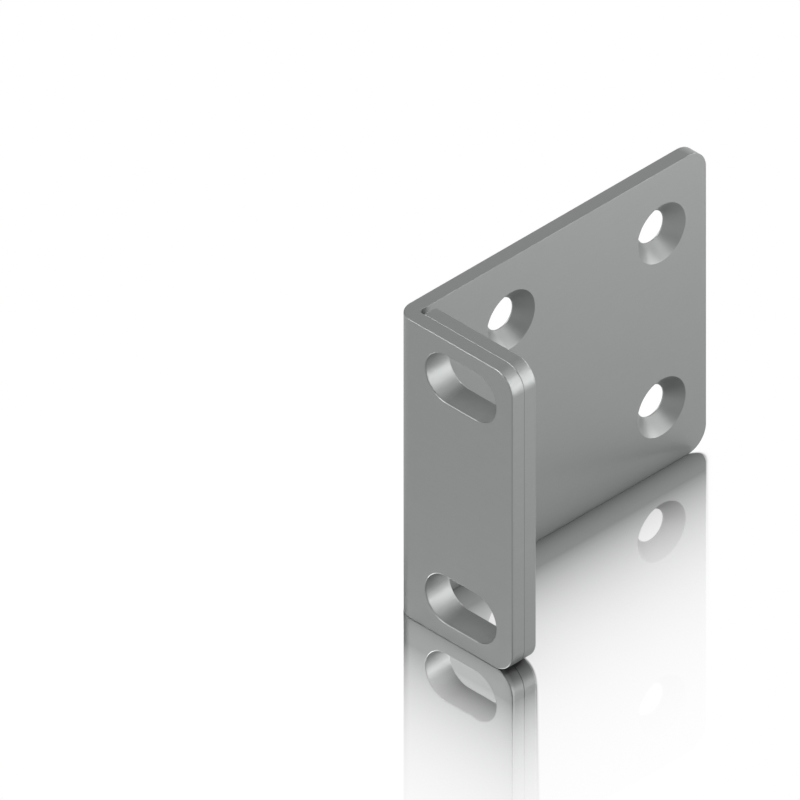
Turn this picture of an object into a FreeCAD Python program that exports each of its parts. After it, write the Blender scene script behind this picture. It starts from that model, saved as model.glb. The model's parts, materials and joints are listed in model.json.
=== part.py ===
import FreeCAD, Part

import math
import os

# An ear bracket that holds a flat device in an equipment rack, in two pieces of steel sheet.
# The folded bracket is one sheet bent to an L: a side flange, screwed to the device's side
# through four countersunk holes, and an ear with two slots for the rack's screws.
# The backing plate lies flat against the back of the ear and makes it twice as thick.
#
# Millimetres. X runs out along the ear from the flange's outer face, Y runs back along the
# flange, and Z is up. The origin is the middle of the four screw holes, on the outer face.

# Overall sizes
height = 42.9
ear_width = 19.5
flange_length = 49.7

# Sheets and their edges
sheet_thickness = 2.0
backing_thickness = 2.0
bend_inner_radius = 0.5
ear_corner_radius = 3.0
flange_corner_radius = 3.0

# Broken edges of the outer faces, and of the plate's face that meets the ear
edge_break = 0.15
seam_edge_break = 0.05

# Between the end of the bend and the backing plate
backing_clearance = 0.3

# Slots for the rack's screws, at the outer hole spacing of one rack unit
slot_spacing = 31.75
slot_length = 11.7
slot_width = 6.8
slot_centre_from_side = 10.95

# Countersunk holes for the device's screws
screw_spacing_along = 25.0
screw_spacing_up = 25.0
screw_to_flange_end = 7.4
screw_hole_diameter = 4.3
countersink_diameter = 8.0
countersink_angle = 90.0

# Places that follow from the sizes
flange_end_y = screw_spacing_along / 2 + screw_to_flange_end
ear_front_y = flange_end_y - flange_length
ear_back_y = ear_front_y + sheet_thickness
backing_back_y = ear_back_y + backing_thickness
bottom_z = -height / 2
bend_outer_radius = bend_inner_radius + sheet_thickness

# How far a cutter reaches past the sheets that it cuts
CUTTER_REACH = 1.0

# Faces that turn by more than this angle, in degrees, have a sharp edge between them
SHARP_ANGLE = 60.0

# Two lengths nearer than this are the same
SAME_LENGTH = 1e-6

OUT = FreeCAD.Vector(1, 0, 0)
BACK = FreeCAD.Vector(0, 1, 0)
UP = FreeCAD.Vector(0, 0, 1)


def folded_profile():
    """The L of the folded sheet, seen from above, as a face at the bracket's lower edge."""

    def at(x, y):
        return FreeCAD.Vector(x, y, bottom_z)

    def bend_arc(radius):
        """A quarter turn about the bend's centre, from the flange's side to the ear's side."""
        centre = at(bend_outer_radius, ear_front_y + bend_outer_radius)
        slant = radius * math.sqrt(0.5)
        start = centre - OUT * radius
        middle = centre - OUT * slant - BACK * slant
        end = centre - BACK * radius
        return Part.Arc(start, middle, end).toShape(), start, end

    outer_bend, outer_start, outer_end = bend_arc(bend_outer_radius)
    inner_bend, inner_start, inner_end = bend_arc(bend_inner_radius)
    ear_front_tip = at(ear_width, ear_front_y)
    ear_back_tip = at(ear_width, ear_back_y)
    flange_outer_tip = at(0, flange_end_y)
    flange_inner_tip = at(sheet_thickness, flange_end_y)
    edges = [
        Part.makeLine(ear_front_tip, outer_end),
        outer_bend,
        Part.makeLine(outer_start, flange_outer_tip),
        Part.makeLine(flange_outer_tip, flange_inner_tip),
        Part.makeLine(flange_inner_tip, inner_start),
        inner_bend,
        Part.makeLine(inner_end, ear_back_tip),
        Part.makeLine(ear_back_tip, ear_front_tip),
    ]
    return Part.Face(Part.Wire(Part.__sortEdges__(edges)))


def middle_of(edge):
    """The point halfway along an edge."""
    return edge.valueAt((edge.FirstParameter + edge.LastParameter) / 2)


def corner_edges(shape, direction, axis, place):
    """The edges that run along direction and lie at the given place on another axis."""
    found = []
    for edge in shape.Edges:
        if not isinstance(edge.Curve, Part.Line):
            continue
        runs_along = abs(edge.tangentAt(edge.FirstParameter).dot(direction)) > 0.999
        if runs_along and abs(middle_of(edge).dot(axis) - place) < SAME_LENGTH:
            found.append(edge)
    return found


def sharp_edges(shape):
    """The edges whose two faces turn by more than the sharp angle."""
    found = []
    for edge in shape.Edges:
        faces = shape.ancestorsOfType(edge, Part.Face)
        if len(faces) != 2:
            continue
        middle = middle_of(edge)
        first, second = [face.normalAt(*face.Surface.parameter(middle)) for face in faces]
        if math.degrees(first.getAngle(second)) > SHARP_ANGLE:
            found.append(edge)
    return found


def sharp_edges_at(shape, face_y):
    """The sharp edges round the flat face at face_y."""
    return [edge for edge in sharp_edges(shape) if abs(middle_of(edge).y - face_y) < SAME_LENGTH]


def is_on_outer_face(point):
    """Whether a point lies on the folded sheet's outer face, on the flange, the bend or the ear."""
    bend_centre_y = ear_front_y + bend_outer_radius
    if point.x >= bend_outer_radius:
        return abs(point.y - ear_front_y) < SAME_LENGTH
    if point.y >= bend_centre_y:
        return abs(point.x) < SAME_LENGTH
    from_centre = math.hypot(point.x - bend_outer_radius, point.y - bend_centre_y)
    return abs(from_centre - bend_outer_radius) < SAME_LENGTH


def slot_cutter(centre_z):
    """One slot with round ends, along X, reaching through the ear and the backing plate."""
    radius = slot_width / 2
    reach = slot_length / 2 - radius
    centre = FreeCAD.Vector(slot_centre_from_side, ear_front_y - CUTTER_REACH, centre_z)
    side = {}
    for name, way in (("inner", -1), ("outer", 1)):
        arc_centre = centre + OUT * reach * way
        side[name] = (
            arc_centre - UP * radius,
            arc_centre + OUT * radius * way,
            arc_centre + UP * radius,
        )
    edges = [
        Part.Arc(*side["inner"]).toShape(),
        Part.makeLine(side["inner"][2], side["outer"][2]),
        Part.Arc(*side["outer"]).toShape(),
        Part.makeLine(side["inner"][0], side["outer"][0]),
    ]
    outline = Part.Face(Part.Wire(Part.__sortEdges__(edges)))
    depth = backing_back_y - ear_front_y + 2 * CUTTER_REACH
    return outline.extrude(BACK * depth)


def slots():
    """Both slots, the same distance above and below mid-height."""
    return [slot_cutter(way * slot_spacing / 2) for way in (-1, 1)]


def screw_hole_cutters():
    """The four screw holes, each a straight bore and a countersink in the flange's inner face."""
    hole_radius = screw_hole_diameter / 2
    slope = math.tan(math.radians(countersink_angle / 2))
    sink_radius = countersink_diameter / 2
    sink_depth = (sink_radius - hole_radius) / slope
    cutters = []
    for along in (-1, 1):
        for up in (-1, 1):
            centre = BACK * along * screw_spacing_along / 2 + UP * up * screw_spacing_up / 2
            bore_length = sheet_thickness + 2 * CUTTER_REACH
            bore_start = centre - OUT * CUTTER_REACH
            cutters.append(Part.makeCylinder(hole_radius, bore_length, bore_start, OUT))
            sink_start = centre + OUT * (sheet_thickness - sink_depth)
            wide_radius = sink_radius + CUTTER_REACH * slope
            sink_length = sink_depth + CUTTER_REACH
            cutters.append(Part.makeCone(hole_radius, wide_radius, sink_length, sink_start, OUT))
    return cutters


def folded_bracket():
    """The side flange and the ear, bent from one sheet."""
    sheet = folded_profile().extrude(UP * height)
    sheet = sheet.makeFillet(ear_corner_radius, corner_edges(sheet, BACK, OUT, ear_width))
    flange_corners = corner_edges(sheet, OUT, BACK, flange_end_y)
    sheet = sheet.makeFillet(flange_corner_radius, flange_corners)
    outer_rim = [edge for edge in sharp_edges(sheet) if is_on_outer_face(middle_of(edge))]
    sheet = sheet.makeChamfer(edge_break, outer_rim)
    sheet = sheet.cut(slots())
    sheet = sheet.makeChamfer(edge_break, sharp_edges_at(sheet, ear_front_y))
    return sheet.cut(screw_hole_cutters())


def ear_backing_plate():
    """The flat plate behind the ear, with the ear's outline and slots."""
    inner_x = sheet_thickness + bend_inner_radius + backing_clearance
    corner = FreeCAD.Vector(inner_x, ear_back_y, bottom_z)
    plate = Part.makeBox(ear_width - inner_x, backing_thickness, height, corner)
    plate = plate.makeFillet(ear_corner_radius, corner_edges(plate, BACK, OUT, ear_width))
    plate = plate.makeChamfer(seam_edge_break, sharp_edges_at(plate, ear_back_y))
    plate = plate.makeChamfer(edge_break, sharp_edges_at(plate, backing_back_y))
    plate = plate.cut(slots())
    return plate.makeChamfer(edge_break, sharp_edges_at(plate, backing_back_y))


def save(name, shape):
    """Write one piece as a single clean solid."""
    solid = shape.removeSplitter().Solids[0]
    print(f"{name}: {len(shape.Solids)} solid, {solid.Volume:.1f} cubic mm, valid {solid.isValid()}")
    solid.exportStep(f"parts/{name}.step")


os.makedirs("parts", exist_ok=True)
save("folded_bracket", folded_bracket())
save("ear_backing_plate", ear_backing_plate())
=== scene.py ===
"""A studio picture of a rack mount ear bracket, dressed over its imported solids.

The bracket is one steel sheet folded to an ear and a side flange, and a plate that backs the ear.
Everything is in metres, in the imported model's frame: X runs out along the ear from the flange's
outer face, Y runs back along the flange, and Z is up.
"""

import json
import logging
import math
from dataclasses import dataclass, field
from enum import Enum, IntEnum
from functools import reduce
from typing import Any, Iterable, Sequence

import bpy
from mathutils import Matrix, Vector
from mathutils.geometry import delaunay_2d_cdt

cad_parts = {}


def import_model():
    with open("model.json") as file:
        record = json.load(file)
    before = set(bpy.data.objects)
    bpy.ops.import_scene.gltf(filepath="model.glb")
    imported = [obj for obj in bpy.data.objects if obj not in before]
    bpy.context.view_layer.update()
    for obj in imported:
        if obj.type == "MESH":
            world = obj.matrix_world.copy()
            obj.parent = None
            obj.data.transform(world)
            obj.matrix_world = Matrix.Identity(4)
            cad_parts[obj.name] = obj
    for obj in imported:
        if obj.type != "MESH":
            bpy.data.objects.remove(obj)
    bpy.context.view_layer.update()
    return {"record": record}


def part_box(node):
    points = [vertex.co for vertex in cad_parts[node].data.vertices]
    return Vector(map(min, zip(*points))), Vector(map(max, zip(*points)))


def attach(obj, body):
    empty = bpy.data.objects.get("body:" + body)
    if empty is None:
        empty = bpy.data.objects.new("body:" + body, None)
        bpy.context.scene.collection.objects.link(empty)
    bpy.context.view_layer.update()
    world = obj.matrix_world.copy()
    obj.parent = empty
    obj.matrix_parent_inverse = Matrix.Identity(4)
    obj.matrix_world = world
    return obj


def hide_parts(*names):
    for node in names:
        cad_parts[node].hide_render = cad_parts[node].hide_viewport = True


LOG = logging.getLogger("ear_bracket")

MM = 0.001

BODY = "root"

# Radius of the ear's outer corners and of the flange's far ones
CORNER_RADIUS = 3.0 * MM

# Two lengths nearer than this are the same
SAME_LENGTH = 1e-9

WHITE = (1.0, 1.0, 1.0, 1.0)

OUT = Vector((1, 0, 0))
BACK = Vector((0, 1, 0))
UP = Vector((0, 0, 1))


# Flat outlines


@dataclass(frozen=True)
class Station:
    """A point of an outline on the flat sheet. Both vectors are (along the sheet, up).

    Attributes:
        at: Its place.
        away: The unit direction that leads away from the metal.
    """

    at: Vector
    away: Vector


def turn(angle: float) -> Vector:
    """The flat unit vector at an angle in radians, anticlockwise from along the sheet."""
    return Vector((math.cos(angle), math.sin(angle)))


def arc(centre: Vector, radius: float, start: float, sweep: float, steps: int) -> list[Station]:
    """A round run of an outline that bulges away from the metal.

    Args:
        centre: Middle of the arc on the flat sheet.
        radius: Radius of the arc.
        start: Angle of the first point, in degrees.
        sweep: Angle that the arc turns through, in degrees, anticlockwise.
        steps: Number of chords that the arc is made of.

    Returns:
        The arc's stations with both of its ends.
    """
    directions = [turn(math.radians(start + sweep * k / steps)) for k in range(steps + 1)]
    return [Station(centre + radius * away, away) for away in directions]


def plate_outline(
    low: Vector, high: Vector, radii: tuple[float, float], stops: Sequence[float] = ()
) -> list[Station]:
    """The closed outline of a flat rectangle with rounded corners, anticlockwise.

    Args:
        low: Lowest corner of the rectangle.
        high: Highest corner of the rectangle.
        radii: Corner radius at the sheet's start and at its end.
        stops: Distances along the sheet at which the long edges have a point as well.

    Returns:
        The stations of the outline, from the start's upper corner round to its upper edge.
    """
    first, last = radii
    steps, quarter = 20, 90.0
    bottom = [Station(Vector((stop, low.y)), turn(-math.pi / 2)) for stop in stops]
    top = [Station(Vector((stop, high.y)), turn(math.pi / 2)) for stop in reversed(stops)]
    return [
        *arc(Vector((low.x + first, high.y - first)), first, 90, quarter, steps),
        *arc(Vector((low.x + first, low.y + first)), first, 180, quarter, steps),
        *bottom,
        *arc(Vector((high.x - last, low.y + last)), last, 270, quarter, steps),
        *arc(Vector((high.x - last, high.y - last)), last, 0, quarter, steps),
        *top,
    ]


def opening(centre: Vector, radius: float, reach: float = 0.0) -> list[Station]:
    """The closed outline of a round hole, or of a slot along the sheet, clockwise.

    Args:
        centre: Middle of the opening.
        radius: Radius of the hole, or of the slot's round ends.
        reach: How far the round ends' centres lie from the middle.

    Returns:
        The stations of the opening, whose away directions lead into the empty middle.
    """
    steps, half_turn = 36, 180.0
    stations = []
    for way, start in ((1, 90.0), (-1, 270.0)):
        middle = centre + Vector((way * reach, 0))
        for k in range(steps + 1 if reach else steps):
            out = turn(math.radians(start - half_turn * k / steps))
            stations.append(Station(middle + radius * out, -out))
    return stations


def lies_within(point: Vector, rim: Sequence[Vector]) -> bool:
    """Tells whether a flat point lies inside a closed rim.

    Args:
        point: The point.
        rim: The rim's points in order.

    Returns:
        True if it lies inside.
    """
    inside = False
    for start, end in zip(rim, [*rim[1:], rim[0]]):
        if (start.y > point.y) != (end.y > point.y):
            crossing = start.x + (end.x - start.x) * (point.y - start.y) / (end.y - start.y)
            inside ^= point.x < crossing
    return inside


# Wall profiles


class Surface(IntEnum):
    """The kinds of surface that the steel has, in the order of a piece's materials."""

    ROLLED = 0
    CUT = 1
    BROKEN_EDGE = 2
    COUNTERSINK = 3


@dataclass(frozen=True)
class Stop:
    """One end of a strip of wall.

    Attributes:
        inset: How far it lies into the metal from the outline.
        depth: How deep it lies below the sheet's outer face.
        away: Share of the strip's outward direction that leads away from the metal.
        deeper: Share of that direction that leads from the outer face to the inner one.
    """

    inset: float
    depth: float
    away: float
    deeper: float


@dataclass(frozen=True)
class Strip:
    """A strip of wall all round an outline, between two stops.

    Attributes:
        start: Its end nearer the outer face.
        end: Its other end.
        surface: Kind of surface.
    """

    start: Stop
    end: Stop
    surface: Surface


def rounded_rim(
    centre: Stop, radius: float, start: float, sweep: float, steps: int = 5
) -> list[Strip]:
    """The strips of a small rounding between two surfaces.

    Args:
        centre: Where the rounding's middle lies. Its directions aren't used.
        radius: Radius of the rounding.
        start: Angle of its outward direction at the start, in degrees, from straight out of the
            outer face (-90) through away from the metal (0) to straight out of the inner face (90).
        sweep: Angle that it turns through, in degrees.
        steps: Number of strips.

    Returns:
        The strips, from the outer face to the inner one.
    """
    stops = []
    for k in range(steps + 1):
        angle = math.radians(start + sweep * k / steps)
        away, deeper = math.cos(angle), math.sin(angle)
        stops.append(Stop(centre.inset - radius * away, centre.depth + radius * deeper, away, deeper))
    return [Strip(*pair, Surface.BROKEN_EDGE) for pair in zip(stops, stops[1:])]


@dataclass(frozen=True)
class WallProfile:
    """The wall of an outline or opening, from the sheet's outer face to its inner face.

    Attributes:
        thickness: Thickness of the sheet.
        outer_break: Radius to which the rim in the outer face is broken, or 0 for a sharp one.
        inner_break: The same for the rim in the inner face.
        sink_depth: Depth of a 90 degree countersink in the inner face, or 0 for none.
    """

    thickness: float
    outer_break: float = 0.0
    inner_break: float = 0.0
    sink_depth: float = 0.0

    def strips(self) -> list[Strip]:
        """Makes the strips of the wall.

        Returns:
            The strips in order of depth.
        """
        made = []
        top = radius = self.outer_break
        if radius:
            made += rounded_rim(Stop(radius, radius, 0, 0), radius, -90, 90)
        if self.sink_depth:
            return made + self.sunk_strips(top)
        radius = self.inner_break
        foot = self.thickness - radius
        made.append(Strip(Stop(0, top, 1, 0), Stop(0, foot, 1, 0), Surface.CUT))
        if radius:
            made += rounded_rim(Stop(radius, foot, 0, 0), radius, 0, 90)
        return made

    def sunk_strips(self, top: float) -> list[Strip]:
        """The bore, the countersink and its softened rim.

        Args:
            top: Depth at which the bore starts.

        Returns:
            The strips below that depth.
        """
        slant = math.sqrt(0.5)
        foot = self.thickness - self.sink_depth
        radius = self.inner_break
        # The rounding touches the cone and the inner face at this distance from where they meet.
        tangent = radius * math.tan(math.radians(45 / 2))
        cone_end = Stop(
            self.sink_depth - tangent * slant, self.thickness - tangent * slant, slant, slant
        )
        centre = Stop(cone_end.inset + radius * slant, cone_end.depth - radius * slant, 0, 0)
        return [
            Strip(Stop(0, top, 1, 0), Stop(0, foot, 1, 0), Surface.CUT),
            Strip(Stop(0, foot, slant, slant), cone_end, Surface.COUNTERSINK),
            *rounded_rim(centre, radius, 45, 45, 3),
        ]


# Meshes of bent sheet


@dataclass(frozen=True)
class SheetPath:
    """Where the points of a flat sheet lie once it is bent to its L.

    A flat plate is a sheet that ends before its bend.

    Attributes:
        tip: The outer end of the ear, at mid-height on the sheet's outer face.
        bend_start: Length of the flat ear.
        bend_radius: Radius of the bend on the sheet's outer face.
    """

    tip: Vector
    bend_start: float = math.inf
    bend_radius: float = math.inf

    @property
    def bend_end(self) -> float:
        """Distance along the sheet at which the flange starts."""
        return self.bend_start + self.bend_radius * math.pi / 2

    def directions(self, along: float) -> tuple[Vector, Vector]:
        """The directions along and through the sheet.

        Args:
            along: Distance from the ear's tip along the outer face.

        Returns:
            The unit vector on along the sheet, and the one from its outer to its inner face.
        """
        angle = min(max(along - self.bend_start, 0) / self.bend_radius, math.pi / 2)
        onward = BACK * math.sin(angle) - OUT * math.cos(angle)
        inward = BACK * math.cos(angle) + OUT * math.sin(angle)
        return onward, inward

    def place(self, along: float, up: float, depth: float) -> Vector:
        """A point of the bent sheet.

        Args:
            along: Distance from the ear's tip along the outer face.
            up: Height above the sheet's middle.
            depth: Distance below the outer face.

        Returns:
            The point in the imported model's frame.
        """
        onward, inward = self.directions(along)
        if along <= self.bend_start:
            return self.tip - OUT * along + UP * up + inward * depth
        centre = self.tip - OUT * self.bend_start + BACK * self.bend_radius
        past_bend = max(along - self.bend_end, 0)
        return centre + onward * past_bend - inward * (self.bend_radius - depth) + UP * up


@dataclass
class SheetMesh:
    """One closed mesh of a sheet in the making, with the exact direction of its surface.

    Attributes:
        path: The path of the sheet.
        points: The points of the bent sheet.
        flat: The same points on the flat sheet.
        faces: The numbers of each face's points.
        normals: Direction of the surface at each corner of each face.
        surfaces: Kind of surface of each face.
    """

    path: SheetPath
    points: list[Vector] = field(default_factory=list)
    flat: list[Vector] = field(default_factory=list)
    faces: list[list[int]] = field(default_factory=list)
    normals: list[Vector] = field(default_factory=list)
    surfaces: list[Surface] = field(default_factory=list)

    def add_point(self, at: Vector, depth: float) -> int:
        """Adds a point of the sheet.

        Args:
            at: Its place on the flat sheet.
            depth: Its depth below the outer face.

        Returns:
            The point's number.
        """
        self.points.append(self.path.place(at.x, at.y, depth))
        self.flat.append(at)
        return len(self.points) - 1

    def add_face(self, corners: Sequence[int], normals: Iterable[Vector], surface: Surface) -> None:
        """Adds a face.

        Args:
            corners: Numbers of its points, anticlockwise as seen from outside.
            normals: Direction of the surface at each corner.
            surface: Kind of surface.
        """
        self.faces.append(list(corners))
        self.normals.extend(normals)
        self.surfaces.append(surface)

    def add_wall(self, outline: Sequence[Station], profile: WallProfile) -> tuple[list[int], list[int]]:
        """Adds the wall of an outline or an opening.

        Args:
            outline: Its stations, with the metal to the left.
            profile: The wall's profile.

        Returns:
            The numbers of the points of its rim in the outer face, and of those in the inner one.
        """

        def ring(stop: Stop) -> list[int]:
            """Adds the points all round the outline at a stop, and gives their numbers."""
            return [self.add_point(s.at - s.away * stop.inset, stop.depth) for s in outline]

        def direction(station: Station, stop: Stop) -> Vector:
            """The direction of the surface at a station and a stop."""
            onward, inward = self.path.directions(station.at.x)
            return (onward * station.away.x + UP * station.away.y) * stop.away + inward * stop.deeper

        strips = profile.strips()
        outer = near = ring(strips[0].start)
        for strip in strips:
            far = ring(strip.end)
            for k, station in enumerate(outline):
                n = (k + 1) % len(outline)
                corners = (near[k], near[n], far[n], far[k])
                ends = (
                    (station, strip.start),
                    (outline[n], strip.start),
                    (outline[n], strip.end),
                    (station, strip.end),
                )
                self.add_face(corners, [direction(*end) for end in ends], strip.surface)
            near = far
        return outer, near

    def fill(self, rims: Sequence[Sequence[int]], depth: float, pitch: float) -> None:
        """Fills a flat face between its outline and its openings with even triangles.

        Args:
            rims: The numbers of the points of each closed rim, the outline's first.
            depth: The face's depth: 0 is the outer face.
            pitch: Spacing of the points inside the face.
        """
        numbers = [number for rim in rims for number in rim]
        edges, first = [], 0
        for rim in rims:
            edges += [(first + k, first + (k + 1) % len(rim)) for k in range(len(rim))]
            first += len(rim)
        rim_points = [self.flat[number] for number in numbers]
        openings = [[self.flat[number] for number in rim] for rim in rims[1:]]
        inside = self.inside_points(rim_points, pitch)
        found = delaunay_2d_cdt(rim_points + inside, edges, [], 1, SAME_LENGTH)
        spots, triangles, sources = found[0], found[2], found[3]
        made: dict[int, int] = {}
        for triangle in triangles:
            middle = sum((spots[spot] for spot in triangle), Vector((0, 0))) / len(triangle)
            if any(lies_within(middle, rim) for rim in openings):
                continue
            for spot in triangle:
                if spot in made:
                    continue
                source = min(sources[spot])
                known = source < len(numbers)
                made[spot] = numbers[source] if known else self.add_point(spots[spot], depth)
            corners = [made[spot] for spot in triangle]
            _, inward = self.path.directions(self.flat[corners[0]].x)
            if depth == 0:
                corners, inward = corners[::-1], -inward
            self.add_face(corners, [inward] * len(corners), Surface.ROLLED)

    @staticmethod
    def inside_points(rim_points: Sequence[Vector], pitch: float) -> list[Vector]:
        """Evenly spaced points inside a box of rim points and clear of all of them.

        Args:
            rim_points: The points to stay clear of.
            pitch: Spacing of the new points.

        Returns:
            The new points.
        """
        clear = 0.6 * pitch
        low = Vector((min(p.x for p in rim_points), min(p.y for p in rim_points)))
        high = Vector((max(p.x for p in rim_points), max(p.y for p in rim_points)))
        across = max(round((high.x - low.x) / pitch), 1)
        upward = max(round((high.y - low.y) / pitch), 1)
        found = []
        for i in range(1, across):
            for j in range(1, upward):
                shares = Vector((i / across, j / upward))
                point = low + (high - low) * shares
                if min((point - p).length for p in rim_points) > clear:
                    found.append(point)
        return found

    def fill_bend(self, columns: Sequence[Sequence[int]], depth: float) -> None:
        """Fills one side of the bend with upright strips of faces.

        Args:
            columns: The numbers of the points of each upright line, from the ear to the flange.
            depth: The side's depth: 0 is the outer face.
        """
        for near, far in zip(columns, columns[1:]):
            for k in range(len(near) - 1):
                corners = [near[k], far[k], far[k + 1], near[k + 1]]
                normals = [self.path.directions(self.flat[c].x)[1] for c in corners]
                if depth == 0:
                    corners.reverse()
                    normals = [-normal for normal in reversed(normals)]
                self.add_face(corners, normals, Surface.ROLLED)

    def to_object(self, name: str, materials: Sequence[bpy.types.Material]) -> bpy.types.Object:
        """Makes the Blender object.

        Args:
            name: Name of the object and its mesh.
            materials: One material for each kind of surface, in their order.

        Returns:
            The object, linked to the scene.
        """
        mesh = bpy.data.meshes.new(name)
        mesh.from_pydata(self.points, [], self.faces)
        for material in materials:
            mesh.materials.append(material)
        mesh.polygons.foreach_set("material_index", [int(s) for s in self.surfaces])
        mesh.polygons.foreach_set("use_smooth", [True] * len(self.faces))
        mesh.normals_split_custom_set([tuple(normal) for normal in self.normals])
        made = bpy.data.objects.new(name, mesh)
        bpy.context.scene.collection.objects.link(made)
        return made


# Materials


class NodeGraph:
    """A small helper that adds and joins the nodes of a material or a world."""

    def __init__(self, owner: bpy.types.ID) -> None:
        """Starts an empty node tree.

        Args:
            owner: The material or the world that it belongs to.
        """
        owner.use_nodes = True
        self.tree = owner.node_tree
        self.tree.nodes.clear()

    def add(self, kind: str, inputs: dict[Any, Any] | None = None, **settings: Any) -> bpy.types.Node:
        """Adds a node.

        Args:
            kind: Blender's name of the node type.
            inputs: A value or an output socket for each input, by the input's name or number.
            settings: Attributes of the node.

        Returns:
            The node.
        """
        node = self.tree.nodes.new(kind)
        for name, value in settings.items():
            setattr(node, name, value)
        for key, value in (inputs or {}).items():
            if isinstance(value, bpy.types.NodeSocket):
                self.tree.links.new(value, node.inputs[key])
            else:
                node.inputs[key].default_value = value
        return node

    def math(self, operation: str, *values: Any, clamp: bool = False) -> bpy.types.NodeSocket:
        """Adds a Math node.

        Args:
            operation: Blender's name of the operation.
            values: Its inputs in order, as numbers or output sockets.
            clamp: Whether the result is kept between 0 and 1.

        Returns:
            The node's output.
        """
        inputs = dict(enumerate(values))
        return self.add("ShaderNodeMath", inputs, operation=operation, use_clamp=clamp).outputs[0]

    def fold(self, operation: str, *values: Any) -> bpy.types.NodeSocket:
        """Adds a chain of Math nodes.

        Args:
            operation: Blender's name of the operation, which takes two values.
            values: The values, as numbers or output sockets.

        Returns:
            The last node's output.
        """
        return reduce(lambda first, second: self.math(operation, first, second), values)

    def vector_math(self, operation: str, *values: Any) -> bpy.types.Node:
        """Adds a Vector Math node.

        Args:
            operation: Blender's name of the operation.
            values: Its inputs in order, as vectors or output sockets.

        Returns:
            The node.
        """
        return self.add("ShaderNodeVectorMath", dict(enumerate(values)), operation=operation)

    def noise(self, place: bpy.types.NodeSocket, scale: float, detail: float) -> bpy.types.NodeSocket:
        """Adds a Noise Texture node.

        Args:
            place: The socket that gives the place.
            scale: Scale of the noise.
            detail: Number of finer layers.

        Returns:
            The node's output, from 0 to 1.
        """
        inputs = {"Vector": place, "Scale": scale, "Detail": detail, "Roughness": 0.6}
        return self.add("ShaderNodeTexNoise", inputs).outputs["Fac"]

    def span(
        self, value: bpy.types.NodeSocket, low: float, high: float, start: float = 0.0, end: float = 1.0
    ) -> bpy.types.NodeSocket:
        """Adds a Map Range node, which stops at both ends.

        Args:
            value: The socket to map.
            low: Result at the start.
            high: Result at the end.
            start: Value at which the range starts.
            end: Value at which it ends.

        Returns:
            The node's output.
        """
        inputs = {"Value": value, "From Min": start, "From Max": end, "To Min": low, "To Max": high}
        return self.add("ShaderNodeMapRange", inputs).outputs["Result"]


class Grain(Enum):
    """The way that fine marks run in the steel."""

    ROLLED = "lines along the sheet"
    PUNCHED = "lines through the sheet's thickness"
    TURNED = "rings round a screw hole"


# Scale of the straight marks along X, Y and Z, and their number of finer layers
STRAIGHT_MARKS = {
    Grain.ROLLED: ((150.0, 150.0, 3000.0), 4.0),
    Grain.PUNCHED: ((1800.0, 300.0, 1800.0), 3.0),
}

# Scale of the rings, outwards from a screw hole's middle
RING_SCALE = 9000.0


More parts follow.
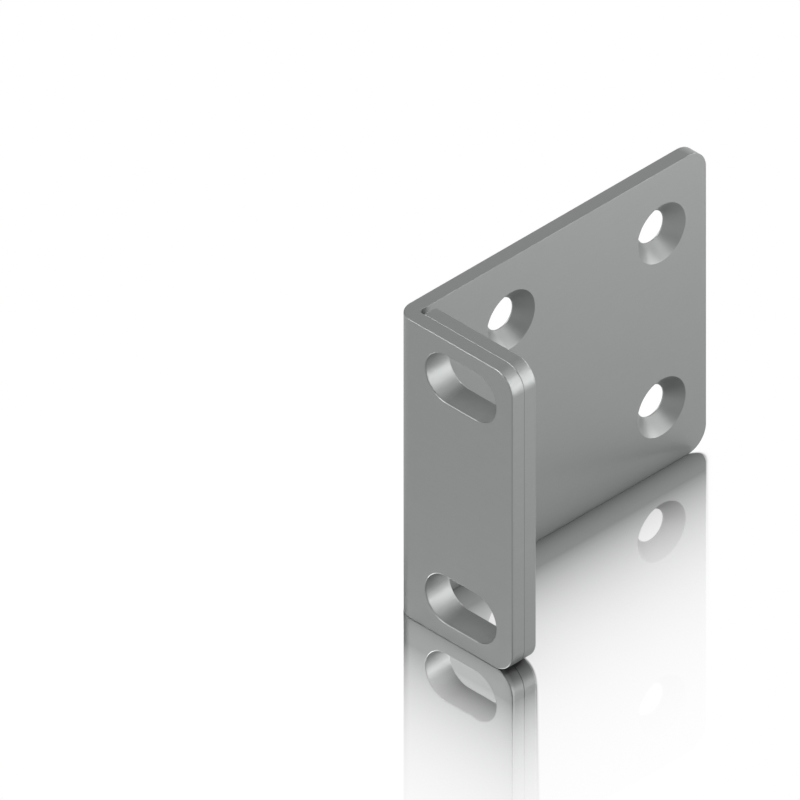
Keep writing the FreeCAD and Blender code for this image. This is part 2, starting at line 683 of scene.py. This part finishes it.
@dataclass(frozen=True)
class SteelFinish:
    """A finish of the satin steel.

    Attributes:
        name: Name of the material.
        grain: The way that its fine marks run.
        shade: Share of the light that it reflects.
        shade_spread: How far the marks move the shade, up and down, as a share of it.
        roughness: Middle of the roughness.
        roughness_spread: How far the marks move the roughness, up and down.
        mark_depth: Depth of the marks in metres.
        tint: Share of the shade that each of red, green and blue has.
        wear_shares: How much of the wear the marks make, and how much a soft cloud does.
    """

    name: str
    grain: Grain
    shade: float = 0.25
    shade_spread: float = 0.02
    roughness: float = 0.5
    roughness_spread: float = 0.015
    mark_depth: float = 2e-8
    tint: tuple[float, float, float] = (0.972, 1.0, 0.992)
    wear_shares: tuple[float, float] = (0.6, 0.4)

    def material(self, screw_pitch: tuple[float, float]) -> bpy.types.Material:
        """Makes the finish's node material.

        Args:
            screw_pitch: Spacing of the screw holes, along the flange and up.

        Returns:
            The material.
        """
        made = bpy.data.materials.new(self.name)
        graph = NodeGraph(made)
        place = graph.add("ShaderNodeTexCoord").outputs["Object"]
        marks = self.marks(graph, place, screw_pitch)
        cloud = graph.noise(place, scale=220.0, detail=3.0)
        worn = [graph.math("MULTIPLY", *pair) for pair in zip((marks, cloud), self.wear_shares)]
        wear = graph.fold("ADD", *worn)
        shade = graph.span(wear, self.shade * (1 - self.shade_spread), self.shade * (1 + self.shade_spread))
        tinted = [graph.math("MULTIPLY", shade, share) for share in self.tint]
        colour = graph.add("ShaderNodeCombineColor", dict(zip(("Red", "Green", "Blue"), tinted)))
        roughness = graph.span(
            wear, self.roughness + self.roughness_spread, self.roughness - self.roughness_spread
        )
        bump = graph.add(
            "ShaderNodeBump", {"Height": marks, "Distance": self.mark_depth, "Strength": 1.0}
        )
        shader = graph.add(
            "ShaderNodeBsdfPrincipled",
            {
                "Base Color": colour.outputs["Color"],
                "Metallic": 1.0,
                "Roughness": roughness,
                "Normal": bump.outputs["Normal"],
            },
        )
        graph.add("ShaderNodeOutputMaterial", {"Surface": shader.outputs["BSDF"]})
        return made

    def marks(
        self, graph: NodeGraph, place: bpy.types.NodeSocket, screw_pitch: tuple[float, float]
    ) -> bpy.types.NodeSocket:
        """Adds the nodes that draw the fine marks.

        Args:
            graph: The material's node tree.
            place: The surface's place in metres, from the middle of the screw holes.
            screw_pitch: Spacing of the screw holes, along the flange and up.

        Returns:
            A socket that runs from about 0 in a mark to about 1 between them.
        """
        if self.grain in STRAIGHT_MARKS:
            stretch, detail = STRAIGHT_MARKS[self.grain]
            stretched = graph.vector_math("MULTIPLY", place, stretch).outputs[0]
            return graph.noise(stretched, scale=1.0, detail=detail)
        flat = graph.vector_math("MULTIPLY", place, (0.0, 1.0, 1.0)).outputs[0]
        folded = graph.vector_math("ABSOLUTE", flat).outputs[0]
        nearest = (0.0, screw_pitch[0] / 2, screw_pitch[1] / 2)
        offset = graph.vector_math("SUBTRACT", folded, nearest).outputs[0]
        radius = graph.vector_math("LENGTH", offset).outputs["Value"]
        rings = graph.add("ShaderNodeCombineXYZ", {"X": graph.math("MULTIPLY", radius, RING_SCALE)})
        return graph.noise(rings.outputs[0], scale=1.0, detail=2.0)


@dataclass(frozen=True)
class SteelSet:
    """The finishes of the bracket's steel, one for each kind of surface.

    Attributes:
        rolled: The sheets' faces.
        cut: The cut walls.
        broken_edge: The broken edges, a little darker than the faces so that the highlight lines along them
            come out dimmer: painted shade.
        countersink: The countersinks.
    """

    rolled: SteelFinish = SteelFinish("rolled_steel", Grain.ROLLED)
    cut: SteelFinish = SteelFinish("cut_steel", Grain.PUNCHED, shade_spread=0.04, mark_depth=1e-7)
    # The broken edges' shade is lower than the faces' to dim the highlight lines along them: painted shade.
    broken_edge: SteelFinish = SteelFinish("broken_edge_painted_shade_steel", Grain.ROLLED, shade=0.222, roughness=0.45)
    countersink: SteelFinish = SteelFinish("countersunk_steel", Grain.TURNED)

    def materials(self, screw_pitch: tuple[float, float]) -> list[bpy.types.Material]:
        """The materials in the order of the kinds of surface.

        Args:
            screw_pitch: Spacing of the screw holes, along the flange and up.

        Returns:
            One material for each kind of surface.
        """
        finishes = (self.rolled, self.cut, self.broken_edge, self.countersink)
        return [finish.material(screw_pitch) for finish in finishes]


# The bracket


@dataclass(frozen=True)
class RackSlots:
    """The two slots for the rack's screws, as sizes and places on the flat ear.

    Attributes:
        from_tip: Distance of their middles from the ear's tip.
        spacing: Spacing of the two, up the ear.
        radius: Radius of their round ends.
        length: Length from end to end.
    """

    from_tip: float
    spacing: float
    radius: float
    length: float

    def outlines(self) -> list[list[Station]]:
        """Draws the two slots.

        Returns:
            The outline of the lower slot and that of the upper one.
        """
        reach = self.length / 2 - self.radius
        centres = [Vector((self.from_tip, way * self.spacing / 2)) for way in (-1, 1)]
        return [opening(centre, self.radius, reach) for centre in centres]


@dataclass(frozen=True)
class FoldedBracket:
    """The sheet that is folded to the ear and the side flange.

    Attributes:
        tip: The outer end of the ear at mid-height, on its front face.
        ear_width: Width of the ear from the flange's outer face.
        flange_length: Length of the flange from the ear's front face.
        height: Height of the bracket.
        thickness: Thickness of the sheet.
        slots: The rack slots.
        screw_pitch: Spacing of the screw holes, along the flange and up.
        screw_hole_radius: Radius of their bores.
        screws_from_front: Distance from the ear's front face to the middle of the screw holes.
        bend_radius: Outer radius of the bend.
        corner_radius: Radius of the ear's and the flange's corners.
        outer_break: Radius to which the outer face's outline and slots are broken.
        inner_break: The same for the inner face's outline.
        sink_radius: Radius of a countersink in the flange's inner face.
        sink_edge_break: Radius to which a countersink's rim is softened.
        bend_steps: Number of flat strips round the bend.
        face_pitch: Spacing of the points inside the flat faces.
    """

    tip: Vector
    ear_width: float
    flange_length: float
    height: float
    thickness: float
    slots: RackSlots
    screw_pitch: tuple[float, float]
    screw_hole_radius: float
    screws_from_front: float
    bend_radius: float = 2.5 * MM
    corner_radius: float = CORNER_RADIUS
    outer_break: float = 0.15 * MM
    inner_break: float = 0.03 * MM
    sink_radius: float = 4.0 * MM
    sink_edge_break: float = 0.03 * MM
    bend_steps: int = 12
    face_pitch: float = 2.2 * MM

    def build(self) -> SheetMesh:
        """Builds the folded sheet as one closed mesh.

        Returns:
            The mesh.
        """
        path = SheetPath(self.tip, self.ear_width - self.bend_radius, self.bend_radius)
        mesh = SheetMesh(path)
        length = path.bend_end + self.flange_length - self.bend_radius
        stops = [
            path.bend_start + (path.bend_end - path.bend_start) * k / self.bend_steps
            for k in range(self.bend_steps + 1)
        ]
        corners = Vector((0, -self.height / 2)), Vector((length, self.height / 2))
        outline = plate_outline(*corners, (self.corner_radius, self.corner_radius), stops)
        rims = mesh.add_wall(outline, WallProfile(self.thickness, self.outer_break, self.inner_break))
        slot_wall = WallProfile(self.thickness, outer_break=self.outer_break)
        slot_rims = [mesh.add_wall(slot, slot_wall) for slot in self.slots.outlines()]
        hole_rims = [mesh.add_wall(hole, self.hole_wall()) for hole in self.hole_outlines(path)]
        for side, depth in enumerate((0.0, self.thickness)):
            ear, columns, flange = self.parts_of_rim(mesh, rims[side], stops, depth)
            mesh.fill([ear, *(rim[side] for rim in slot_rims)], depth, self.face_pitch)
            mesh.fill_bend(columns, depth)
            mesh.fill([flange, *(rim[side] for rim in hole_rims)], depth, self.face_pitch)
        return mesh

    def hole_wall(self) -> WallProfile:
        """The wall of a screw hole, with its countersink in the flange's inner face."""
        sink_depth = self.sink_radius - self.screw_hole_radius
        return WallProfile(self.thickness, inner_break=self.sink_edge_break, sink_depth=sink_depth)

    def hole_outlines(self, path: SheetPath) -> list[list[Station]]:
        """The outlines of the screw holes' bores.

        Args:
            path: The path of the sheet.

        Returns:
            One outline for each hole.
        """
        middle = path.bend_end + self.screws_from_front - self.bend_radius
        along, up = self.screw_pitch
        centres = [
            Vector((middle + i * along / 2, j * up / 2)) for i in (-1, 1) for j in (-1, 1)
        ]
        return [opening(centre, self.screw_hole_radius) for centre in centres]

    def parts_of_rim(
        self, mesh: SheetMesh, rim: Sequence[int], stops: Sequence[float], depth: float
    ) -> tuple[list[int], list[list[int]], list[int]]:
        """Divides the rim of one face into those of the ear, the bend and the flange.

        Args:
            mesh: The mesh, which gains the points inside the bend.
            rim: The numbers of the rim's points.
            stops: Distances along the sheet of the bend's upright lines.
            depth: The face's depth.

        Returns:
            The ear's closed rim, the bend's upright lines from bottom to top, and the flange's
            closed rim.
        """
        rows = round(self.height / self.face_pitch)
        columns = []
        for stop in stops:
            low, high = sorted(
                (n for n in rim if abs(mesh.flat[n].x - stop) < SAME_LENGTH),
                key=lambda n: mesh.flat[n].y,
            )
            shares = [k / rows for k in range(1, rows)]
            inner = [mesh.add_point(mesh.flat[low].lerp(mesh.flat[high], s), depth) for s in shares]
            columns.append([low, *inner, high])
        first, last = rim.index(columns[0][0]), rim.index(columns[-1][0])
        # The rim runs from the ear's upper corner down, under the bend, round the flange and back.
        to_flange, from_flange = rim[: first + 1], rim[last : rim.index(columns[-1][-1]) + 1]
        back_to_ear = rim[rim.index(columns[0][-1]) + 1 :]
        ear = [*to_flange, *columns[0][1:], *back_to_ear]
        flange = [*from_flange, *reversed(columns[-1][1:-1])]
        return ear, columns, flange


@dataclass(frozen=True)
class BackingPlate:
    """The flat plate behind the ear, with the ear's outline and slots.

    Attributes:
        tip: Its outer end at mid-height, on the face that meets the ear.
        width: Its width.
        height: Its height.
        thickness: Its thickness.
        slots: The rack slots.
        corner_radius: Radius of its outer corners.
        inner_corner_radius: Radius of the corners beside the bend.
        front_break: Radius to which the outline of its face that meets the ear is broken.
        back_break: Radius to which its other edges are broken.
        face_pitch: Spacing of the points inside the flat faces.
    """

    tip: Vector
    width: float
    height: float
    thickness: float
    slots: RackSlots
    corner_radius: float = CORNER_RADIUS
    inner_corner_radius: float = 0.2 * MM
    front_break: float = 0.09 * MM
    back_break: float = 0.15 * MM
    face_pitch: float = 2.2 * MM

    def build(self) -> SheetMesh:
        """Builds the plate as one closed mesh.

        Returns:
            The mesh.
        """
        mesh = SheetMesh(SheetPath(self.tip))
        corners = Vector((0, -self.height / 2)), Vector((self.width, self.height / 2))
        outline = plate_outline(*corners, (self.corner_radius, self.inner_corner_radius))
        rims = [mesh.add_wall(outline, WallProfile(self.thickness, self.front_break, self.back_break))]
        slot_wall = WallProfile(self.thickness, inner_break=self.back_break)
        rims += [mesh.add_wall(slot, slot_wall) for slot in self.slots.outlines()]
        for side, depth in enumerate((0.0, self.thickness)):
            mesh.fill([rim[side] for rim in rims], depth, self.face_pitch)
        return mesh


@dataclass(frozen=True)
class EarBracket:
    """The whole bracket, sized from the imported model.

    Attributes:
        folded: The folded sheet.
        backing: The backing plate.
        steel: The finishes of both.
    """

    folded: FoldedBracket
    backing: BackingPlate
    steel: SteelSet = SteelSet()

    @classmethod
    def from_frame(cls, record: dict[str, Any]) -> "EarBracket":
        """Works out the bracket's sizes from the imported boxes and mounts.

        Args:
            record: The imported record.

        Returns:
            The bracket.
        """
        low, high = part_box("folded_bracket")
        plate_low, plate_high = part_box("ear_backing_plate")
        mounts = {mount["name"]: mount for mount in record["mounts"]}
        slots, screws = mounts["rack_slots"], mounts["device_screw_holes"]
        rack_slots = RackSlots(
            from_tip=high.x - slots["pos_m"][0],
            spacing=slots["dims"]["spacing_y_mm"] * MM,
            radius=slots["dims"]["hole_r_mm"] * MM,
            length=slots["dims"]["slot_length_mm"] * MM,
        )
        folded = FoldedBracket(
            tip=Vector((high.x, low.y, (low.z + high.z) / 2)),
            ear_width=high.x - low.x,
            flange_length=high.y - low.y,
            height=high.z - low.z,
            thickness=plate_low.y - low.y,
            slots=rack_slots,
            screw_pitch=(screws["dims"]["spacing_x_mm"] * MM, screws["dims"]["spacing_y_mm"] * MM),
            screw_hole_radius=screws["dims"]["hole_r_mm"] * MM,
            screws_from_front=screws["pos_m"][1] - low.y,
        )
        backing = BackingPlate(
            tip=Vector((plate_high.x, plate_low.y, (plate_low.z + plate_high.z) / 2)),
            width=plate_high.x - plate_low.x,
            height=plate_high.z - plate_low.z,
            thickness=plate_high.y - plate_low.y,
            slots=rack_slots,
        )
        return cls(folded, backing)

    def dress(self) -> list[bpy.types.Object]:
        """Builds both pieces, gives them their finish and puts them in the nodes' place.

        Returns:
            The pieces.
        """
        materials = self.steel.materials(self.folded.screw_pitch)
        made = []
        for part, name, node in (
            (self.folded, "satin_folded_bracket", "folded_bracket"),
            (self.backing, "satin_backing_plate", "ear_backing_plate"),
        ):
            piece = part.build().to_object(name, materials)
            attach(piece, BODY)
            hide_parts(node)
            LOG.info("%s: %d faces in place of %s", name, len(piece.data.polygons), node)
            made.append(piece)
        return made


# The studio


def towards(azimuth: float, elevation: float) -> Vector:
    """The direction from the bracket to something in the studio.

    Args:
        azimuth: Its angle round the bracket, in degrees: 0 is in front and 90 to the right.
        elevation: Its height above the horizon, in degrees.

    Returns:
        The unit vector.
    """
    angle, height = math.radians(azimuth), math.radians(elevation)
    level = Vector((math.sin(angle), -math.cos(angle), 0))
    return level * math.cos(height) + UP * math.sin(height)


@dataclass(frozen=True)
class PhotoCamera:
    """A parallel camera that shows the bracket from the right, in front and above.

    Attributes:
        azimuth: Angle of the camera round the bracket, in degrees: 0 looks along +Y.
        elevation: Its height above the horizon, in degrees.
        picture_side: Side of the square picture in pixels.
        pixels_per_metre: Scale of the picture.
        corner_pixel: Where the bottom corner between the flange's outer face and the ear's front
            face would lie in the picture, from its left and from its top.
        distance: How far the camera stands back.
    """

    azimuth: float = 45.0
    elevation: float = 35.264
    picture_side: int = 800
    pixels_per_metre: float = 8520.0
    corner_pixel: tuple[float, float] = (394.66, 609.65)
    distance: float = 0.5

    def build(self, corner: Vector) -> bpy.types.Object:
        """Makes the scene's camera.

        Args:
            corner: The point that lies at the corner pixel.

        Returns:
            The camera.
        """
        back = towards(self.azimuth, self.elevation)
        right = UP.cross(back).normalized()
        up = back.cross(right)
        offset_x = (self.corner_pixel[0] - self.picture_side / 2) / self.pixels_per_metre
        offset_y = (self.picture_side / 2 - self.corner_pixel[1]) / self.pixels_per_metre
        data = bpy.data.cameras.new("photo_camera")
        data.type = "ORTHO"
        data.ortho_scale = self.picture_side / self.pixels_per_metre
        data.clip_start, data.clip_end = 0.01, 10.0
        made = bpy.data.objects.new("photo_camera", data)
        made.location = corner - right * offset_x - up * offset_y + back * self.distance
        made.rotation_euler = back.to_track_quat("Z", "Y").to_euler()
        bpy.context.scene.collection.objects.link(made)
        bpy.context.scene.camera = made
        return made


@dataclass(frozen=True)
class Footprint:
    """The box round a sheet that stands on the floor, with one rounded bottom corner.

    Attributes:
        low: Its lowest corner.
        high: Its highest corner.
        corner_radius: Radius of the rounded corner, at its high X or its high Y end.
        along_x: Whether the sheet stands along X, as the ear does, and not along Y.
        shade_gap: How much farther away it counts for the shade on the mirror, which makes the
            shade beside it weaker.
        shade_rate: How many times faster that shade fades than the floor's own reach says.
    """

    low: Vector
    high: Vector
    corner_radius: float
    along_x: bool
    shade_gap: float = 0.0
    shade_rate: float = 1.0


@dataclass(frozen=True)
class StudioFloor:
    """A glossy white floor, lit from below, that mirrors the bracket less and less away from it.

    Attributes:
        side: Side of the floor.
        glow: Brightness of the lit sheet under it.
        mirror_strength: Strength of the mirror image where it starts. Above 1 it stays full at first.
        mirror_reach: Distance in which the mirror image fades to about a third.
        mirror_roughness: Roughness of the mirror.
        fading_behind: How many times faster the mirror image fades behind a sheet.
        shades: Depth and reach of the broad shade and of the narrow one that make the mirror darker
            beside the bracket's inner side.
        shade_stops: How many times faster they fade on a sheet's outer side, in front of it and
            across the corner between the two.
        shade_inset: How far inside those sides they start to do so, as the bend's corner is round.
        end_rounding: Width of the smooth step at the ear's end, in corner radii, as wide as the
            round corner's mirror image needs it.
        corner_power: How steeply the mirror image's later end under the flange's round corner
            falls off away from the flange.
    """

    side: float = 4.0
    glow: float = 1.0
    mirror_strength: float = 1.5
    mirror_reach: float = 9.2 * MM
    mirror_roughness: float = 0.03
    fading_behind: float = 50.0
    shades: tuple[tuple[float, float], ...] = ((0.53, 28.0 * MM), (0.6, 1.5 * MM))
    shade_stops: tuple[float, float, float] = (300.0, 25.0, 300.0)
    shade_inset: float = 0.75 * MM
    end_rounding: float = 1.77
    corner_power: float = 3.0

    def build(self, height: float, footprints: Sequence[Footprint]) -> bpy.types.Object:
        """Makes the floor.

        Args:
            height: The floor's height.
            footprints: The sheets that stand on it.

        Returns:
            The floor.
        """
        half = self.side / 2
        spots = ((-half, -half), (half, -half), (half, half), (-half, half))
        corners = [(x, y, height) for x, y in spots]
        mesh = bpy.data.meshes.new("studio_floor")
        mesh.from_pydata(corners, [], [(0, 1, 2, 3)])
        mesh.materials.append(self.material(footprints))
        made = bpy.data.objects.new("studio_floor", mesh)
        bpy.context.scene.collection.objects.link(made)
        return made

    def material(self, footprints: Sequence[Footprint]) -> bpy.types.Material:
        """Makes the floor's material.

        Args:
            footprints: The sheets that stand on it.

        Returns:
            The material.
        """
        made = bpy.data.materials.new("pale_floor")
        graph = NodeGraph(made)
        place = graph.add("ShaderNodeTexCoord").outputs["Object"]
        spreads = [self.distances(graph, place, footprint) for footprint in footprints]
        to_image, to_shade = (graph.fold("MINIMUM", *distances) for distances in zip(*spreads))
        image = self.fade(graph, to_image, self.mirror_strength, self.mirror_reach)
        lights = [
            graph.math("SUBTRACT", 1.0, self.fade(graph, to_shade, depth, reach))
            for depth, reach in self.shades
        ]
        lit = graph.add("ShaderNodeEmission", {"Color": WHITE, "Strength": self.glow})
        mirror = graph.add(
            "ShaderNodeBsdfAnisotropic",
            {"Color": graph.fold("MULTIPLY", *lights), "Roughness": self.mirror_roughness},
        )
        mixed = graph.add("ShaderNodeMixShader", {0: image, 1: lit.outputs[0], 2: mirror.outputs[0]})
        graph.add("ShaderNodeOutputMaterial", {"Surface": mixed.outputs[0]})
        return made

    def distances(
        self, graph: NodeGraph, place: bpy.types.NodeSocket, footprint: Footprint
    ) -> tuple[bpy.types.NodeSocket, bpy.types.NodeSocket]:
        """Adds the nodes that measure how far a sheet's mirror image and its shade have to reach.

        The image past the sheet's high X side runs on forwards at 45 degrees. The floor behind it
        mirrors what stands farther off.

        Args:
            graph: The floor's node tree.
            place: The place on the floor.
            footprint: The box round the sheet.

        Returns:
            The distance for the mirror image and the one for the shade.
        """
        above = graph.vector_math("SUBTRACT", place, footprint.high).outputs[0]
        below = graph.vector_math("SUBTRACT", footprint.low, place).outputs[0]
        past_high = graph.add("ShaderNodeSeparateXYZ", {0: above}).outputs
        past_low = graph.add("ShaderNodeSeparateXYZ", {0: below}).outputs
        in_front = past_low["Y"]
        if footprint.along_x:
            rounding = self.end_rounding * footprint.corner_radius
            past_end = graph.math("SMOOTH_MAX", past_high["X"], 0.0, rounding)
            behind = graph.math("ADD", past_high["Y"], past_end)
            shaded_front = graph.math("SUBTRACT", in_front, past_end)
        else:
            past_end = graph.math("MAXIMUM", past_high["X"], 0.0)
            radius = footprint.corner_radius
            under_corner = graph.span(past_end, 1.0, 0.0, end=radius)
            steep = graph.math("POWER", under_corner, self.corner_power)
            lift = graph.math("MULTIPLY", steep, radius)
            behind = graph.fold("ADD", past_high["Y"], past_end, lift)
            shaded_front = in_front
        faded = graph.math("MULTIPLY", behind, self.fading_behind)
        image = graph.fold("MAXIMUM", past_end, past_low["X"], in_front, faded)
        near_low = graph.math("ADD", past_low["X"], self.shade_inset)
        near_front = graph.math("ADD", shaded_front, self.shade_inset)
        near_corner = graph.math("ADD", near_low, near_front)
        stops = [
            graph.math("MULTIPLY", near, stop)
            for near, stop in zip((near_low, near_front, near_corner), self.shade_stops)
        ]
        shade = graph.fold("MAXIMUM", past_end, behind, *stops)
        return image, graph.math("MULTIPLY_ADD", shade, footprint.shade_rate, footprint.shade_gap)

    @staticmethod
    def fade(
        graph: NodeGraph, distance: bpy.types.NodeSocket, strength: float, reach: float
    ) -> bpy.types.NodeSocket:
        """Adds the nodes for a value that fades away from the sheets.

        Args:
            graph: The floor's node tree.
            distance: The distance from the nearest sheet.
            strength: The value where the distance is 0.
            reach: Distance in which the value fades to about a third.

        Returns:
            The value, kept at 1 where it would be more.
        """
        fading = graph.math("EXPONENT", graph.math("DIVIDE", distance, -reach))
        return graph.math("MULTIPLY", fading, strength, clamp=True)


@dataclass(frozen=True)
class SoftLight:
    """A rectangular soft box that shines at the bracket.

    Attributes:
        name: Name of the light.
        azimuth: Angle round the bracket, in degrees, as for the camera.
        elevation: Height above the horizon, in degrees.
        size: Width and height of its face.
        brightness: How bright its face looks, where a white wall in the room is 1.
        distance: Distance from the bracket.
    """

    name: str
    azimuth: float
    elevation: float
    size: tuple[float, float]
    brightness: float
    distance: float = 0.5

    def build(self, target: Vector) -> bpy.types.Object:
        """Makes the light.

        Args:
            target: The point that it faces.

        Returns:
            The light.
        """
        back = towards(self.azimuth, self.elevation)
        data = bpy.data.lights.new(self.name, "AREA")
        data.shape = "RECTANGLE"
        data.size, data.size_y = self.size
        data.energy = self.brightness * math.pi * self.size[0] * self.size[1]
        made = bpy.data.objects.new(self.name, data)
        made.location = target + back * self.distance
        made.rotation_euler = back.to_track_quat("Z", "Y").to_euler()
        bpy.context.scene.collection.objects.link(made)
        return made


@dataclass(frozen=True)
class Room:
    """The white walls round the studio and its dimmer ceiling.

    Attributes:
        walls: Brightness of the walls.
        ceiling: Brightness of the ceiling.
        wall_top: Height above the horizon at which the walls start to dim, in degrees.
        ceiling_edge: Height above the horizon at which the ceiling starts, in degrees.
    """

    walls: float = 1.0
    ceiling: float = 0.18
    wall_top: float = 14.0
    ceiling_edge: float = 24.0

    def build(self) -> bpy.types.World:
        """Makes the world.

        Returns:
            The world.
        """
        made = bpy.data.worlds.new("pale_room")
        graph = NodeGraph(made)
        direction = graph.add("ShaderNodeTexCoord").outputs["Generated"]
        height = graph.add("ShaderNodeSeparateXYZ", {"Vector": direction}).outputs["Z"]
        start, end = (math.sin(math.radians(angle)) for angle in (self.wall_top, self.ceiling_edge))
        strength = graph.span(height, self.walls, self.ceiling, start, end)
        shade = graph.add("ShaderNodeBackground", {"Color": WHITE, "Strength": strength})
        graph.add("ShaderNodeOutputWorld", {"Surface": shade.outputs[0]})
        return made


@dataclass(frozen=True)
class Studio:
    """The room with its lights, its floor and its camera.

    Attributes:
        camera: The camera.
        floor: The floor.
        room: The walls and the ceiling.
        corner_radius: Radius of the bracket's rounded bottom corners.
        ear_shade_gap: How much farther away the ear counts for its shade on the floor.
        ear_shade_rate: How many times faster the ear's shade fades than the flange's.
        lights: The soft boxes.
    """

    camera: PhotoCamera = PhotoCamera()
    floor: StudioFloor = StudioFloor()
    room: Room = Room()
    corner_radius: float = CORNER_RADIUS
    ear_shade_gap: float = 2.0 * MM
    ear_shade_rate: float = 1.7
    lights: tuple[SoftLight, ...] = (
        SoftLight("near_right_box", 115.0, 6.0, (0.08, 0.06), 2.94, distance=0.16),
        SoftLight("near_back_right_box", 135.0, 6.0, (0.08, 0.06), 6.79, distance=0.16),
        SoftLight("near_high_right_box", 115.0, 38.0, (0.08, 0.06), 5.18, distance=0.16),
        SoftLight("low_back_right_box", 150.0, 16.0, (0.2, 0.14), 3.61),
        SoftLight("back_box", 180.0, 26.0, (0.2, 0.16), 17.16),
        SoftLight("high_front_box", 330.0, 60.0, (0.28, 0.24), 13.86),
        SoftLight("low_front_box", 0.0, 16.0, (0.28, 0.24), 2.05),
        SoftLight("left_front_box", 315.0, 16.0, (0.28, 0.24), 1.23),
        SoftLight("back_left_card", 225.0, 31.7, (0.17, 0.2), 1.05, distance=0.4865),
    )

    def build(self) -> None:
        """Makes everything round the bracket."""
        low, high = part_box("folded_bracket")
        plate_low, plate_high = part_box("ear_backing_plate")
        self.camera.build(low)
        ear = Footprint(
            low,
            high=Vector((high.x, plate_high.y, high.z)),
            corner_radius=self.corner_radius,
            along_x=True,
            shade_gap=self.ear_shade_gap,
            shade_rate=self.ear_shade_rate,
        )
        thickness = plate_low.y - low.y
        flange = Footprint(
            low,
            high=Vector((low.x + thickness, high.y, high.z)),
            corner_radius=self.corner_radius,
            along_x=False,
        )
        self.floor.build(low.z, (ear, flange))
        for light in self.lights:
            light.build((low + high) / 2)
        bpy.context.scene.world = self.room.build()
        bpy.context.scene.view_settings.view_transform = "Standard"
        LOG.info("studio: %d soft lights round a white floor", len(self.lights))


def main() -> None:
    """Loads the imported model, dresses the bracket and sets up the studio round it."""
    logging.basicConfig(level=logging.INFO, format="%(message)s")
    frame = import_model()
    Studio().build()
    EarBracket.from_frame(frame["record"]).dress()


if __name__ == "__main__":
    main()
